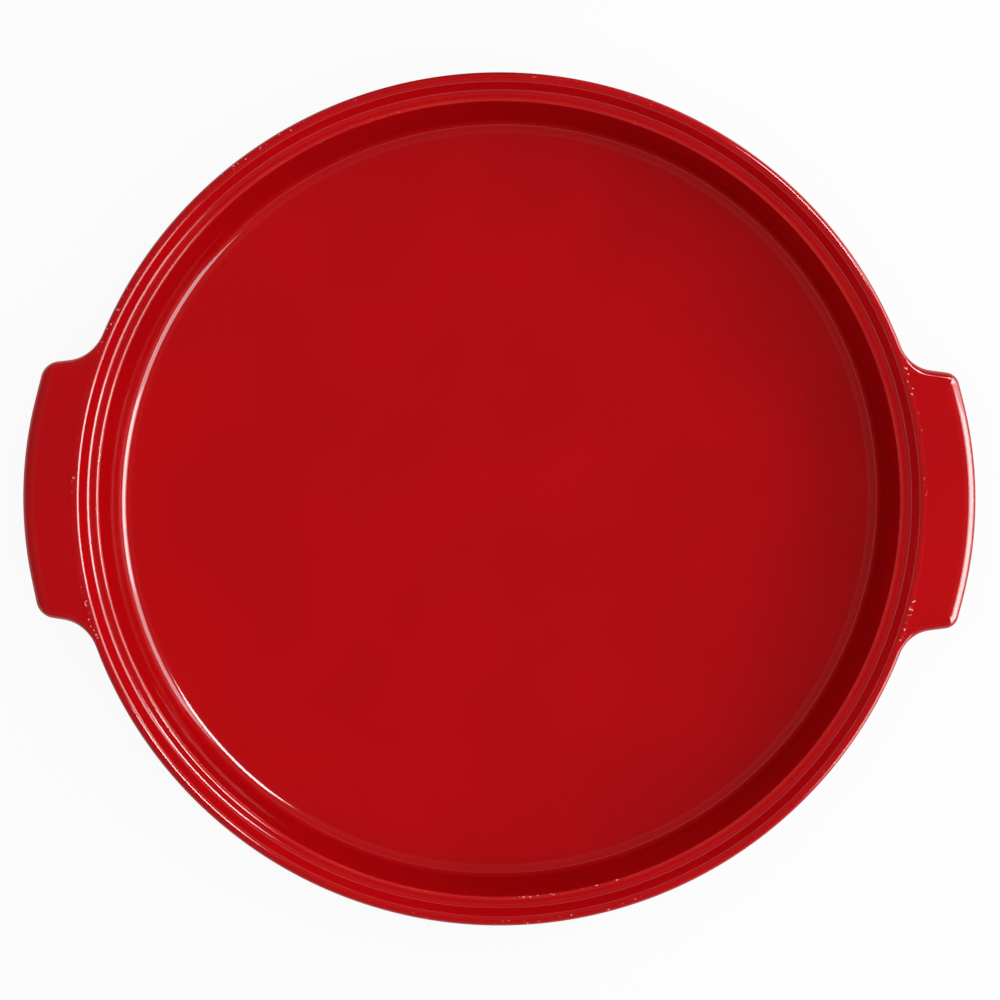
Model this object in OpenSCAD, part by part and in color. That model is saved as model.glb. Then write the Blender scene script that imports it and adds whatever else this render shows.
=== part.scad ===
// Bread cloche in two pieces of glazed stoneware: a round base with a stepped rim and two tab
// handles, and a domed lid with a knob. The lid has been taken off and stands behind the base.
// Millimetres, +Z up. The origin is under the middle of the base, on the surface it stands on.

/* [Base] */
// Outer radius of the rim
rim_r = 170; // [150:1:200]
// Height of the foot ring under the floor
foot_h = 2.3; // [1.5:0.1:5]
// Radius of the middle of the foot ring
foot_ring_r = 136; // [110:1:142]
// Width of the foot ring's flat face
foot_ring_w = 7; // [4:0.5:12]
// Thickness of the floor
floor_t = 8; // [6:0.5:12]
// Thickness of the side wall
wall_t = 7; // [5:0.5:9]
// Depth of the dish, from the lid's ledge down to the floor
dish_h = 36.5; // [28:0.1:60]
// Lean of the dish's wall from upright, in degrees
wall_lean = 8; // [4:1:14]
// Radius of the cove between the floor and the wall
cove_r = 6.2; // [4:0.2:9]
// Slope at the floor's edge, where it starts to rise towards the cove, in degrees
floor_edge_slope = 5; // [3:1:14]
// Radius of the gentle bend where the flat floor ends
floor_edge_r = 40; // [20:1:60]

/* [Rim] */
// Depth of the step that the lid drops into
step_h = 5.2; // [4:0.1:7]
// Slope of the step from level, in degrees
step_slope = 50; // [46:1:60]
// Width of the ledge that the lid stands on
ledge_w = 3.6; // [3:0.1:6]
// Radius in the foot of the step
step_fillet = 2.8; // [2:0.1:3.4]
// Radius of the edge between the ledge and the dish
lip_r = 1.8; // [1.2:0.1:2.4]
// Flat on the crown of the rim
crown_flat = 0.2; // [0.1:0.1:2]
// Radius of the crown's outer edge
crown_out_r = 1.8; // [1.2:0.1:3]
// Radius of the crown's inner edge
crown_in_r = 2.4; // [1.5:0.1:3]
// Height of the band round the outside of the rim
band_h = 17; // [15:0.5:22]
// Slope of the band's underside from level, in degrees
band_under_slope = 32; // [20:1:45]
// Radius of the band's lower edge
band_edge_r = 3; // [1.5:0.1:3.5]
// Radius where the band's underside runs into the wall
band_fillet = 5; // [3:0.5:8]

/* [Handles] */
// Width of a handle where it leaves the rim
handle_w = 103.8; // [70:1:120]
// Reach of a handle beyond the rim
handle_reach = 19.1; // [15:0.5:30]
// Radius of a handle's outer edge, seen from above
handle_tip_r = 164.5; // [120:1:190]
// Angle by which a handle narrows on each side towards its outer edge, in degrees
handle_taper = 9; // [0:1:15]
// Radius of a handle's corners, seen from above
handle_corner_r = 6.4; // [5:0.2:10]
// Radius of the bend between a handle and the rim, seen from above
handle_root_r = 15; // [8:1:20]
// Thickness of a handle
handle_t = 13.6; // [11:0.2:14]
// Rounding of a handle's upper and lower edges
handle_edge_r = 4.2; // [2:0.1:4.6]
// Drop from the crown of the rim to the top of a handle
handle_drop = 0.4; // [0.3:0.1:1]
// How far the left handle is turned from straight opposite the right one, in degrees
handle_skew = 1.1; // [-3:0.1:3]

/* [Lid] */
// Level clearance round the lid, from its side to the step, where its rounded edge ends
lid_gap = 1.2; // [1.2:0.1:2]
// Thickness of the lid's wall
lid_t = 6.2; // [5:0.1:8]
// Radius of the lower corners of the lid's rim
lid_edge_r = 1.5; // [1:0.1:1.5]
// Lean of the lid's side from upright, in degrees
lid_lean = 3; // [2:1:8]
// Height at which the lines of the side and the shoulder cross
shoulder_h = 42; // [38:1:60]
// Slope of the shoulder from level, in degrees
shoulder_slope = 39; // [35:1:45]
// Radius of the shoulder's lower bend
shoulder_low_r = 70; // [50:1:75]
// Radius of the shoulder's upper bend
shoulder_high_r = 95; // [70:1:100]
// Height of the dome's top, where it meets the neck of the knob
dome_h = 90; // [86:1:98]
// Slope of the dome's top from level, in degrees
dome_slope = 5; // [3:1:7]

/* [Knob] */
// Radius of the knob's neck
neck_r = 16; // [13:0.5:20]
// Radius of the knob's cap
knob_r = 31; // [26:0.5:36]
// Height of the gap for fingers under the cap, at the neck
knob_gap = 13; // [12:0.5:20]
// Thickness of the cap at its edge
knob_t = 12; // [9:0.5:16]
// Radius of the cap's edges
knob_edge_r = 5; // [3:0.2:5.4]
// Radius where the neck meets the dome and the cap
neck_fillet = 6; // [4:0.5:6]
// Rise of the cap's underside towards its edge, in degrees
knob_under_slope = 8; // [0:1:12]
// Depth of the shallow dish in the cap's top
knob_dish = 1.6; // [0.5:0.1:3]
// Thickness of clay left round the hollow inside the knob
knob_wall = 7; // [5:0.5:8]

/* [Placing] */
// Clear space between the base and the lid that stands behind it
lid_apart = 40; // [10:5:200]

/* [Hidden] */

glaze = [0.72, 0.04, 0.05];

// Facets of round outlines and of turned solids
$fn = 96;
turn_fn = 180;
// Room by which a cutting shape runs past what it cuts
margin = 1;
// Lap by which the slice of a circle reaches in over its chord
chord_lap = 0.02;

// Heights in the base
floor_z = foot_h + floor_t;
ledge_z = floor_z + dish_h;
base_h = ledge_z + step_h;
band_z = base_h - band_h;

// Radii in the rim, from the outside in
crown_in = rim_r - crown_out_r - crown_flat - crown_in_r * tan(step_slope / 2);
step_foot = crown_in - step_h / tan(step_slope);
lip = step_foot - ledge_w;

// Handles
handle_top = base_h - handle_drop;
handle_bottom = handle_top - handle_t;
// Depths to which a handle's root and its bends run on inside the rim
root_sink = 2;
bend_sink = 0.6;
// Slack by which a handle's bends and corners cut across its sides, and the angle by which a
// bend runs on past its ends
slack = 0.15;
bend_past = 3;

// Lid
lid_r = step_foot + lid_edge_r / tan(step_slope) - lid_gap;
lid_at = [0, rim_r + lid_apart + lid_r, 0];

// Outlines

// An outline is a list of corners [x, y, radius] that runs counter-clockwise. A radius of 0
// leaves the corner sharp.
function corner(path, i) = let (c = path[(i + len(path)) % len(path)]) [c.x, c.y];

function toward(p, q) = (q - p) / norm(q - p);

// Directions from corner i back along the outline and on along it
function back(path, i) = toward(corner(path, i), corner(path, i - 1));
function on(path, i) = toward(corner(path, i), corner(path, i + 1));
function half_angle(path, i) = acos(back(path, i) * on(path, i)) / 2;
function is_convex(path, i) = cross(back(path, i), on(path, i)) < 0;

// Where the rounding of corner i starts and ends, and the centre of its circle
function trim(path, i) = path[i][2] / tan(half_angle(path, i));
function arc_start(path, i) = corner(path, i) + back(path, i) * trim(path, i);
function arc_end(path, i) = corner(path, i) + on(path, i) * trim(path, i);
function arc_centre(path, i) =
    let (inward = back(path, i) + on(path, i))
    corner(path, i) + inward / norm(inward) * path[i][2] / sin(half_angle(path, i));

// The slice of corner i's circle that lies beyond the chord from its start to its end
module arc_slice(path, i) {
    out = toward(arc_centre(path, i), corner(path, i));
    along = toward(arc_start(path, i), arc_end(path, i)) * margin;
    s = arc_start(path, i) - along - out * chord_lap;
    e = arc_end(path, i) + along - out * chord_lap;
    intersection() {
        translate(arc_centre(path, i)) circle(r = path[i][2]);
        polygon([s, e, e + out * path[i][2], s + out * path[i][2]]);
    }
}

// The outline with its corners rounded by true arcs
module rounded(path) {
    corners = [0:len(path) - 1];
    difference() {
        union() {
            polygon([for (i = corners) each path[i][2] > 0
                ? [arc_start(path, i), arc_end(path, i)] : [corner(path, i)]]);
            for (i = corners) if (path[i][2] > 0 && is_convex(path, i)) arc_slice(path, i);
        }
        for (i = corners) if (path[i][2] > 0 && !is_convex(path, i)) arc_slice(path, i);
    }
}

// The point at height z on a line through p that rises at the given slope from level
function on_line(p, slope, z) = [p.x + (z - p.y) / tan(slope), z];

// Where a line through p along u crosses a line through q along v
function cross_point(p, u, q, v) = p + u * cross(q - p, v) / cross(u, v);

// The same for lines given with their slopes from level
function meet(p, p_slope, q, q_slope) =
    cross_point(p, [cos(p_slope), sin(p_slope)], q, [cos(q_slope), sin(q_slope)]);

function rounding(p, r) = [p.x, p.y, r];

// Base

module base_section() {
    wall_slope = 90 - wall_lean;
    // The floor's flat ends where the slope and the cove still fit before the wall
    wall_foot = on_line([lip, ledge_z], wall_slope, floor_z);
    slope_run = floor_edge_r * tan(floor_edge_slope / 2)
        + cove_r * tan((wall_slope - floor_edge_slope) / 2);
    flat_end = [wall_foot.x - slope_run * (cos(floor_edge_slope)
        - sin(floor_edge_slope) / tan(wall_slope)), floor_z];
    cove = meet(flat_end, floor_edge_slope, wall_foot, wall_slope);

    outside = [lip + wall_t / cos(wall_lean), ledge_z];
    heel = on_line(outside, wall_slope, foot_h);
    band_foot = meet([rim_r, band_z], band_under_slope, outside, wall_slope);
    foot_in = foot_ring_r - foot_ring_w / 2;
    foot_out = foot_ring_r + foot_ring_w / 2;

    rounded([
        [0, foot_h, 0],
        [foot_in - foot_h, foot_h, foot_h],
        [foot_in, 0, foot_h / 3],
        [foot_out, 0, foot_h / 3],
        [foot_out + foot_h, foot_h, foot_h],
        rounding(heel, cove_r + wall_t),
        rounding(band_foot, band_fillet),
        [rim_r, band_z, band_edge_r],
        [rim_r, base_h, crown_out_r],
        [crown_in, base_h, crown_in_r],
        [step_foot, ledge_z, step_fillet],
        [lip, ledge_z, lip_r],
        rounding(cove, cove_r),
        rounding(flat_end, floor_edge_r),
        [0, floor_z, 0]
    ]);
}

// Handles

// Seen from above, the handle that points along +X lies within two side lines and within the arc
// of its outer edge. Its solid is what these three have in common, each with rounded edges.
side_root = [rim_r, handle_w / 2];
side_along = [cos(handle_taper), -sin(handle_taper)];
side_out = [sin(handle_taper), cos(handle_taper)];
tip_x = rim_r + handle_reach - handle_tip_r;
// Half the angle of the outer edge between its corners
tip_angle = asin((handle_w / 2 - 2 * handle_corner_r) / handle_tip_r);

// The edge of a handle cut across: flat above and below, and rounded at its end, at x = 0
module handle_edge(depth)
    rounded([
        [-depth, handle_bottom, 0],
        [0, handle_bottom, handle_edge_r],
        [0, handle_top, handle_edge_r],
        [-depth, handle_top, 0]
    ]);

// All that lies within one side line, for the side at +Y or at -Y
module within_side(side)
    translate([side_root.x, side * side_root.y])
        rotate(side * (90 - handle_taper)) rotate([90, 0, 0])
            linear_extrude(3 * handle_w, center = true) handle_edge(1.5 * handle_w);

// All that lies within the arc of the outer edge
module within_tip()
    translate([tip_x, 0])
        rotate_extrude(angle = 4 * tip_angle, start = -2 * tip_angle, $fn = turn_fn)
            translate([handle_tip_r, 0]) handle_edge(2 * handle_reach);

// All that lies within the two corners, which are rounded by upright cylinders
module within_corners() {
    tip_end = [tip_x, 0] + (handle_tip_r + slack) * [cos(tip_angle), sin(tip_angle)];
    tip_along = [-sin(tip_angle), cos(tip_angle)];
    c = cross_point(tip_end, tip_along, side_root + slack * side_out, side_along);
    i = c - side_along * 2 * handle_reach;
    translate([0, 0, handle_bottom - margin]) linear_extrude(handle_t + 2 * margin) rounded([
        [i.x, -i.y, 0],
        [c.x, -c.y, handle_corner_r],
        [tip_x + (handle_tip_r + slack) / cos(tip_angle), 0, handle_tip_r + slack],
        [c.x, c.y, handle_corner_r],
        [i.x, i.y, 0]
    ]);
}

// The bend between a handle's side and the rim
module handle_bend(side) {
    bend_r = rim_r - bend_sink + handle_root_r;
    w = side_root + side_out * (handle_root_r - slack);
    b = w * side_along;
    centre = w + side_along * (sqrt(b * b - w * w + bend_r ^ 2) - b);
    rim_end = atan2(centre.y, centre.x) + 180 - bend_past;
    side_end = 270 - handle_taper + bend_past;
    translate([centre.x, side * centre.y])
        rotate_extrude(angle = side_end - rim_end, start = side > 0 ? rim_end : -side_end,
            $fn = turn_fn)
            translate([handle_root_r, 0]) mirror([1, 0]) handle_edge(handle_root_r);
}

module handle()
    difference() {
        union() {
            intersection() {
                within_side(1);
                within_side(-1);
                within_tip();
                within_corners();
            }
            handle_bend(1);
            handle_bend(-1);
        }
        cylinder(h = 3 * base_h, r = rim_r - root_sink, center = true, $fn = turn_fn);
    }

module base() color(glaze) union() {
    rotate_extrude($fn = turn_fn) base_section();
    handle();
    rotate(180 - handle_skew) handle();
}

// Lid

module lid_section() {
    side_slope = 90 + lid_lean;
    shoulder = on_line([lid_r, 0], side_slope, shoulder_h);
    neck_foot = [neck_r, dome_h];
    crest = meet(shoulder, -shoulder_slope, neck_foot, -dome_slope);
    cap_foot = [neck_r, dome_h + knob_gap];
    cap_edge = [knob_r, cap_foot.y + (knob_r - neck_r) * tan(knob_under_slope)];
    knob_top = cap_edge.y + knob_t;
    dish_edge = knob_r - 2 * knob_edge_r;

    // The inside runs parallel to the outside
    in_side = [lid_r - lid_t / cos(lid_lean), 0];
    in_shoulder = meet(in_side, side_slope,
        shoulder - [0, lid_t / cos(shoulder_slope)], -shoulder_slope);
    in_top = neck_foot - [0, lid_t / cos(dome_slope)];
    in_crest = meet(in_shoulder, -shoulder_slope, in_top, -dome_slope);
    core_r = neck_r - knob_wall;
    core_foot = [core_r, in_top.y + (neck_r - core_r) * tan(dome_slope)];
    core_top = knob_top - knob_wall - knob_dish;

    rounded([
        [in_side.x, 0, lid_edge_r],
        [lid_r, 0, lid_edge_r],
        rounding(shoulder, shoulder_low_r),
        rounding(crest, shoulder_high_r),
        rounding(neck_foot, neck_fillet),
        rounding(cap_foot, neck_fillet),
        rounding(cap_edge, knob_edge_r),
        [knob_r, knob_top, knob_edge_r],
        [dish_edge, knob_top, knob_edge_r],
        [dish_edge / 2, knob_top - knob_dish, knob_r],
        [0, knob_top - knob_dish, 0],
        [0, core_top, 0],
        [core_r, core_top, core_r / 2],
        rounding(core_foot, knob_wall / 2),
        rounding(in_crest, shoulder_high_r - lid_t),
        rounding(in_shoulder, shoulder_low_r - lid_t)
    ]);
}

module lid() color(glaze) translate(lid_at) rotate_extrude($fn = turn_fn) lid_section();

base();
lid();
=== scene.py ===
"""Bread cloche: a glazed stoneware base with two tab handles, and its domed lid set down behind it.

Sizes are metres. The origin is under the middle of the base, +Z is up, and +X points to the
right handle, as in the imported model.
"""

import math

import bpy
from bpy.props import FloatProperty, FloatVectorProperty, IntProperty, PointerProperty
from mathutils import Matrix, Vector


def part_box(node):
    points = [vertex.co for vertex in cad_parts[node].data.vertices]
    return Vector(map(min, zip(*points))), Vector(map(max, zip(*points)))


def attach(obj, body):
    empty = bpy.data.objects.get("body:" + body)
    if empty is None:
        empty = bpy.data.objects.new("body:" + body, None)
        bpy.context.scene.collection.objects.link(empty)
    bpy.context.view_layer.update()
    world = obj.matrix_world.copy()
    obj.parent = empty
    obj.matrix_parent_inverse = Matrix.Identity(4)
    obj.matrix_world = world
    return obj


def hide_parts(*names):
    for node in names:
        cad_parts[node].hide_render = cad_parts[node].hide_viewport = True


bl_info = {
    "name": "Bread cloche",
    "version": (1, 0, 0),
    "blender": (4, 5, 0),
    "location": "3D View > Sidebar > Cloche",
    "description": "Builds a glazed stoneware bread cloche in its packed model's frame",
    "category": "Add Mesh",
}

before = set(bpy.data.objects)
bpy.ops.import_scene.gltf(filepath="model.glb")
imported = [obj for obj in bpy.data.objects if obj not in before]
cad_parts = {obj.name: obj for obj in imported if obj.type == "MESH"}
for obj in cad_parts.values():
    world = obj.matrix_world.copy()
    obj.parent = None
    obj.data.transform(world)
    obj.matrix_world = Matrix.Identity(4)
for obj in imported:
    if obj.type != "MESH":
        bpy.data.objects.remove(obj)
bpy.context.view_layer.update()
BASE_LOW, BASE_HIGH = (Vector(corner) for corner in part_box("base"))
LID_LOW, LID_HIGH = (Vector(corner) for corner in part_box("lid"))
LID_CENTRE = (LID_LOW + LID_HIGH) / 2
LID_RADIUS = min(LID_HIGH.x - LID_LOW.x, LID_HIGH.y - LID_LOW.y) / 2
MM = 0.001

# Steps of the meshes: along small arcs and large ones, at the ends of long stretches and along them
ARC_STEP = math.radians(9)
FINE = 2.5 * MM
GUARD = 0.35 * MM
COARSE = 9 * MM

# Length from which a straight stretch of an outline is a long one
LONG = 3 * MM

# Points as near as this are one, in an outline and in a mesh
NEAR = 0.02 * MM
MERGED = 0.001 * MM

# Height up to which the pieces are left without glaze
BARE_BELOW = 0.3 * MM


# Properties


def length(name, description, default, low, high):
    """A size that is held in metres and written here in millimetres."""
    return FloatProperty(
        name=name, description=description, default=default * MM, min=low * MM, max=high * MM,
        unit="LENGTH", precision=4,
    )


def slope(name, description, default, low, high):
    """An angle that is held in radians and written here in degrees."""
    default, low, high = (math.radians(v) for v in (default, low, high))
    return FloatProperty(
        name=name, description=description, default=default, min=low, max=high, subtype="ANGLE"
    )


def colour(name, description, default):
    return FloatVectorProperty(
        name=name, description=description, default=default, min=0, max=1, size=3, subtype="COLOR"
    )


def level(name, description, default, **more):
    return FloatProperty(name=name, description=description, default=default, min=0, **more)


def share(name, description, default):
    return level(name, description, default, max=1, subtype="FACTOR")


def metres(name, description, default):
    """A length in the studio, held and written in metres."""
    return level(name, description, default, unit="LENGTH")


def pair(name, description, default):
    """Two sizes, held and written in metres."""
    return FloatVectorProperty(
        name=name, description=description, default=default, min=MM, size=2, unit="LENGTH",
        precision=4,
    )


class ClocheBase(bpy.types.PropertyGroup):
    """Sizes of the base. Its rim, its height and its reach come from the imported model."""

    foot_height: length("Foot height", "Height of the foot ring", 2.3, 1.5, 5)
    foot_radius: length("Foot radius", "Radius of the middle of the foot ring", 136, 110, 142)
    foot_width: length("Foot width", "Width of the foot ring's flat face", 7, 4, 12)
    floor_thickness: length("Floor", "Thickness of the floor", 8, 6, 12)
    wall_thickness: length("Wall", "Thickness of the wall", 7, 5, 9)
    wall_lean: slope("Wall lean", "Lean of the wall from upright", 8, 4, 14)
    floor_edge_slope: slope("Floor's edge", "Slope where the floor starts to rise", 5, 3, 14)
    floor_edge: length("Floor's bend", "Radius of the bend where the floor ends", 40, 20, 60)
    cove: length("Cove", "Radius between the floor and the wall", 6.2, 4, 9)
    step_depth: length("Step depth", "Depth of the step round the lid", 5.2, 4, 7)
    step_slope: slope("Step slope", "Slope of the step", 50, 46, 60)
    step_foot: length("Step's foot", "Radius in the foot of the step", 2.8, 2, 3.4)
    ledge_width: length("Ledge", "Width of the ledge under the lid", 3.6, 3, 6)
    lip: length("Lip", "Radius of the edge of the dish", 1.8, 1.2, 2.4)
    crown_flat: length("Crown", "Flat on the crown of the rim", 0.2, 0.1, 2)
    crown_out: length("Crown's outside", "Radius of the crown's outer edge", 1.8, 1.2, 3)
    crown_in: length("Crown's inside", "Radius of the crown's inner edge", 2.4, 1.5, 3)
    band_height: length("Band", "Height of the band round the rim", 17, 15, 22)
    band_slope: slope("Band's underside", "Slope of the band's underside", 32, 20, 45)
    band_edge: length("Band's edge", "Radius of the band's lower edge", 3, 1.5, 3.5)
    band_fillet: length("Band's root", "Radius where the band meets the wall", 5, 3, 8)
    oval: length("Oval", "How far the rim is drawn out towards the handles", 0.65, 0, 1.5)
    warp: length("Warp", "How far the floor is drawn out towards +X +Y", 0.9, 0, 1.5)
    columns: IntProperty(name="Columns", description="Faces round the rim", default=360, min=60)


class ClocheHandles(bpy.types.PropertyGroup):
    """Sizes of the two tab handles."""

    width: length("Width", "Width of a handle at the rim", 103.8, 70, 120)
    tip: length("Outer edge", "Radius of a handle's outer edge", 158, 120, 190)
    taper: slope("Taper", "Angle by which each side narrows outwards", 8, 1, 15)
    corner: pair("Corners", "Radius of the right and left handle's corners", (6 * MM, 8 * MM))
    bend: pair("Bends", "Radius between the rim and the right and left handle", (15 * MM, 17 * MM))
    thickness: length("Thickness", "Thickness of a handle", 13.6, 11, 14)
    lower_edge: length("Lower edge", "Rounding of a handle's lower edges", 4.2, 2, 4.6)
    side_edge: length("Side's edge", "Rounding of its upper edges at the sides", 2.6, 2, 4.6)
    tip_edge: length("Outer edge's top", "Wide rounding on top of its outer edge", 7, 4, 9)
    tip_turn: slope("Turn", "Slope at which the wide rounding ends", 42, 30, 60)
    tip_rim: length("Outer edge's rim", "Tight rounding beyond the wide one", 1.2, 0.8, 2)
    drop: length("Drop", "Drop from the rim's crown to a handle's top", 0.05, 0.01, 1)
    root: length("Root", "Radius under a handle, where it meets the band", 1.4, 0.5, 3)
    blend: length("Blend", "Reach at which a handle has its full form", 6, 5, 9)
    turn: slope("Turn", "Turn of the right handle from +X", -0.2, -3, 3)
    skew: slope("Skew", "Turn of the left handle from -X", -1.2, -3, 3)


class ClocheLid(bpy.types.PropertyGroup):
    """Sizes of the lid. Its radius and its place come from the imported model."""

    wall: length("Wall", "Thickness of the lid's wall", 6.2, 5, 8)
    edge: length("Edge", "Radius of the rim's lower corners", 1.5, 1, 2)
    lean: slope("Lean", "Lean of the lid's side from upright", 3, 2, 8)
    shoulder_height: length("Shoulder", "Height where side and shoulder cross", 42, 38, 60)
    shoulder_slope: slope("Shoulder slope", "Slope of the shoulder", 39, 35, 45)
    shoulder_low: length("Lower bend", "Radius of the shoulder's lower bend", 70, 50, 75)
    shoulder_high: length("Upper bend", "Radius of the shoulder's upper bend", 95, 70, 100)
    dome_height: length("Dome", "Height of the dome at the knob's neck", 90, 86, 98)
    dome_slope: slope("Dome slope", "Slope of the dome's top", 5, 3, 7)
    neck: length("Neck", "Radius of the knob's neck", 16, 13, 20)
    neck_fillet: length("Neck's bends", "Radius above and below the neck", 6, 4, 6)
    knob: length("Knob", "Radius of the knob's cap", 31, 26, 36)
    knob_gap: length("Finger gap", "Height of the gap under the cap", 13, 12, 20)
    knob_thickness: length("Cap", "Thickness of the cap at its edge", 12, 9, 16)
    knob_edge: length("Cap's edge", "Radius of the cap's edges", 5, 3, 5.4)
    knob_slope: slope("Cap's underside", "Rise of the cap's underside", 8, 0, 12)
    knob_dish: length("Cap's dish", "Depth of the dish in the cap's top", 1.6, 0.5, 3)
    knob_wall: length("Knob's wall", "Clay round the hollow in the knob", 7, 5, 8)
    columns: IntProperty(name="Columns", description="Faces round the lid", default=320, min=60)


class ClocheFinish(bpy.types.PropertyGroup):
    """Colours and surfaces of the glaze and the bare clay."""

    glaze: colour("Glaze", "Colour of the glaze", (0.45, 0.002, 0.004))
    # Lighter red where the glaze is thin on the lip, and partly a painted highlight along the lip's
    # edge; the fine specks take this colour too
    thin_glaze_and_sheen: colour("Thin glaze", "Colour where the glaze is thin", (0.58, 0.020, 0.012))
    pinhole: colour("Pinholes", "Colour of the pinholes", (0.85, 0.50, 0.42))
    clay: colour("Clay", "Colour of the bare fired clay", (0.62, 0.45, 0.30))
    clouds: share("Clouds", "Strength of the darker clouds", 0.35)
    specks: share("Specks", "Strength of the fine specks", 0.25)
    pinholes: share("Pinholes' strength", "Strength of the pinholes", 0.8)
    dull: share("Dull", "Share of the gloss that the dish's wall has lost", 0.92)
    glaze_roughness: share("Glaze's roughness", "Roughness of the glaze", 0.06)
    clay_roughness: share("Clay's roughness", "Roughness of the bare clay", 0.85)
    glaze_relief: share("Glaze's relief", "Strength of the glaze's unevenness", 0.12)
    clay_relief: share("Clay's relief", "Strength of the clay's grain", 0.5)


class ClocheStage(bpy.types.PropertyGroup):
    """The plain studio round the cloche. Lamps for gloss show in the glaze and light nothing."""

    room: level("Room", "Brightness of the walls and ceiling", 0.16)
    overhead: level("Overhead", "Brightness of the room overhead", 0.03)
    white_to: slope("White up to", "Height to which the surround is white", 4, 0, 90)
    room_from: slope("Room from", "Height from which the walls are seen", 18, 0, 90)
    hole: slope("Camera's shade", "Half the angle of the dark place overhead", 18, 0, 90)
    box_azimuth: slope("Box", "Azimuth of the wide box, for gloss", -2, -180, 180)
    box_height: slope("Box's height", "Height of the wide box", 26, 0, 90)
    box_size: pair("Box's size", "Its width and height", (2.3, 1.15))
    box_level: level("Box's level", "Brightness of its face", 5.6)
    core_size: pair("Core's size", "Width and height of its middle", (0.75, 0.6))
    core_level: level("Core's level", "Brightness of its face", 9)
    spot_azimuth: slope("Spot", "Azimuth of the narrow box, for gloss", 43, -180, 180)
    spot_height: slope("Spot's height", "Height of the narrow box", 57, 0, 90)
    spot_size: pair("Spot's size", "Its width and height", (0.34, 0.5))
    spot_level: level("Spot's level", "Brightness of its face", 20)
    side_azimuth: slope("Side", "Azimuth of the light from the side", 8, -180, 180)
    side_height: slope("Side's height", "Height of the light from the side", 36, 0, 90)
    side_size: pair("Side's size", "Its width and height", (3, 1))
    side_level: level("Side's level", "Brightness of its face", 2.5)
    top_size: pair("Top's size", "Width and depth of the light overhead", (1.8, 1.8))
    top_level: level("Top's level", "Brightness of its face", 2.4)
    floor_colour: colour("Floor", "Colour of the floor in the light", (0.8, 0.8, 0.8))
    floor_glow: share("Floor's glow", "How evenly white the floor is", 0.92)
    floor_reach: metres("Floor's reach", "Reach of the floor from the middle", 6)
    top_distance: metres("Top's distance", "Height of the light overhead", 1.9)
    lamp_distance: metres("Lamps' distance", "Distance of the other lamps", 1.6)
    distance: metres("Distance", "Camera's height over the rim", 1.6)
    field: metres("Field", "Width of the picture at the rim", 0.39636)
    aim: FloatVectorProperty(
        name="Aim", description="Point of the base under the camera", default=(0.00028, -0.00044),
        size=2, unit="LENGTH", subtype="TRANSLATION",
    )


# Outlines


def direction(angle):
    return Vector((math.cos(angle), math.sin(angle)))


def unit(v):
    return v / v.length


def spun(v, angle):
    """The vector turned by an angle."""
    c, s = math.cos(angle), math.sin(angle)
    return Vector((v.x * c - v.y * s, v.x * s + v.y * c))


def quarter_turn(v):
    return Vector((-v.y, v.x))


def eased(value):
    """0 up to 0, 1 from 1, and smooth between."""
    v = max(0, min(1, value))
    return v * v * (3 - 2 * v)


def corner(x, y, radius=0):
    """A corner of an outline, and the radius that it is rounded by."""
    return Vector((x, y)), radius


def crossing(p, u, q, v):
    """Where the line through p along u crosses the line through q along v."""
    return p + u * (Vector((q - p)).cross(v) / u.cross(v))


def rounded(path, arc_step, longest):
    """An open outline of corners, rounded in steps within arc_step and longest."""
    points = []
    for i, (point, radius) in enumerate(path):
        if radius == 0:
            points.append(point)
            continue
        back = unit(path[i - 1][0] - point)
        on = unit(path[i + 1][0] - point)
        half = math.acos(back.dot(on)) / 2
        centre = point + unit(back + on) * radius / math.sin(half)
        spoke = point + back * radius / math.tan(half) - centre
        turn = math.copysign(math.pi - 2 * half, (-back).cross(on))
        steps = max(3, math.ceil(abs(turn) / arc_step), math.ceil(abs(turn) * radius / longest))
        for k in range(steps + 1):
            step = centre + spun(spoke, turn * k / steps)
            if not points or (step - points[-1]).length > NEAR:
                points.append(step)
    return points


def supported(points):
    """The outline with a point close to each end of its long stretches, and these cut up."""
    out = [points[0]]
    for p, q in zip(points, points[1:]):
        gap = (q - p).length
        if gap > LONG:
            near, far = p.lerp(q, GUARD / gap), p.lerp(q, 1 - GUARD / gap)
            parts = max(1, math.ceil((far - near).length / COARSE))
            out += [near.lerp(far, k / parts) for k in range(parts + 1)]
        out.append(q)
    return out


# Nodes


def operation(kind):
    """A method that joins a value and another in a math node."""
    def method(self, other):
        return self.nodes.math(kind, self, other)

    return method


class Value:
    """A node's output that can be used in sums, products and comparisons."""

    def __init__(self, nodes, socket):
        self.nodes, self.socket = nodes, socket

    def __rsub__(self, other):
        return self.nodes.math("SUBTRACT", other, self)

    __add__ = __radd__ = operation("ADD")
    __sub__ = operation("SUBTRACT")
    __mul__ = __rmul__ = operation("MULTIPLY")
    __truediv__ = operation("DIVIDE")
    __gt__ = operation("GREATER_THAN")
    __lt__ = operation("LESS_THAN")


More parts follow.
